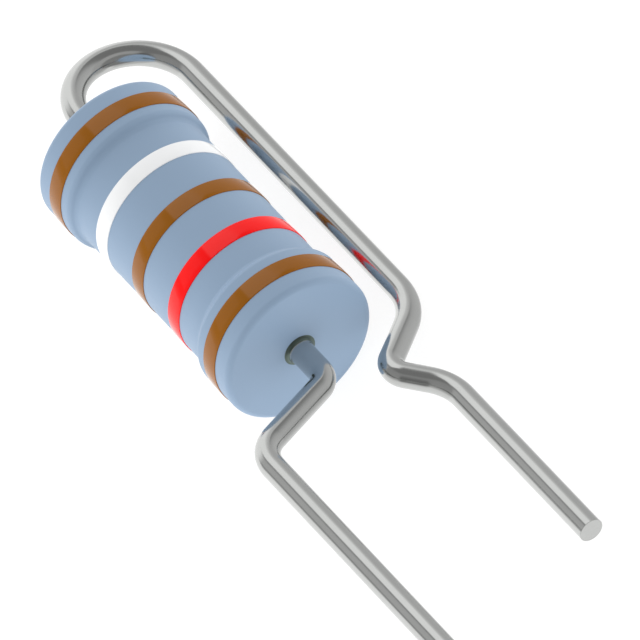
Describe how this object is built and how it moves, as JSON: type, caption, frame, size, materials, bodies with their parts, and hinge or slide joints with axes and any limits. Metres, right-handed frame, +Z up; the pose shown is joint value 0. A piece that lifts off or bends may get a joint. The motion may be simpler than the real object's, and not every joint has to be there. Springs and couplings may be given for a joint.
{
  "type": "axial resistor",
  "caption": "Axial film resistor with a light blue lacquered body, colour bands and bright wire leads bent for upright mounting.",
  "frame": {"origin": "on the surface the part lies on, under the middle of the box around the whole part", "axes": "+X along the body towards the cut ends of the leads, +Z up from the surface, +Y towards the side the return lead lies on"},
  "size_m": [0.0224, 0.0056, 0.0042],
  "materials": {
    "rod": "matte",
    "film": "satin",
    "caps": "satin",
    "coat": "gloss",
    "wire": "polished",
    "brown_band": "gloss",
    "white_band": "gloss",
    "red_band": "gloss"
  },
  "bodies": {
    "root": {"ceramic_core": "rod", "resistive_film": "film", "far_end_cap": "caps", "near_end_cap": "caps", "lacquer_coat": "coat", "return_lead": "wire", "near_lead": "wire", "first_digit_band": "brown_band", "second_digit_band": "white_band", "third_digit_band": "brown_band", "multiplier_band": "red_band", "tolerance_band": "brown_band"}
  },
  "joints": []
}
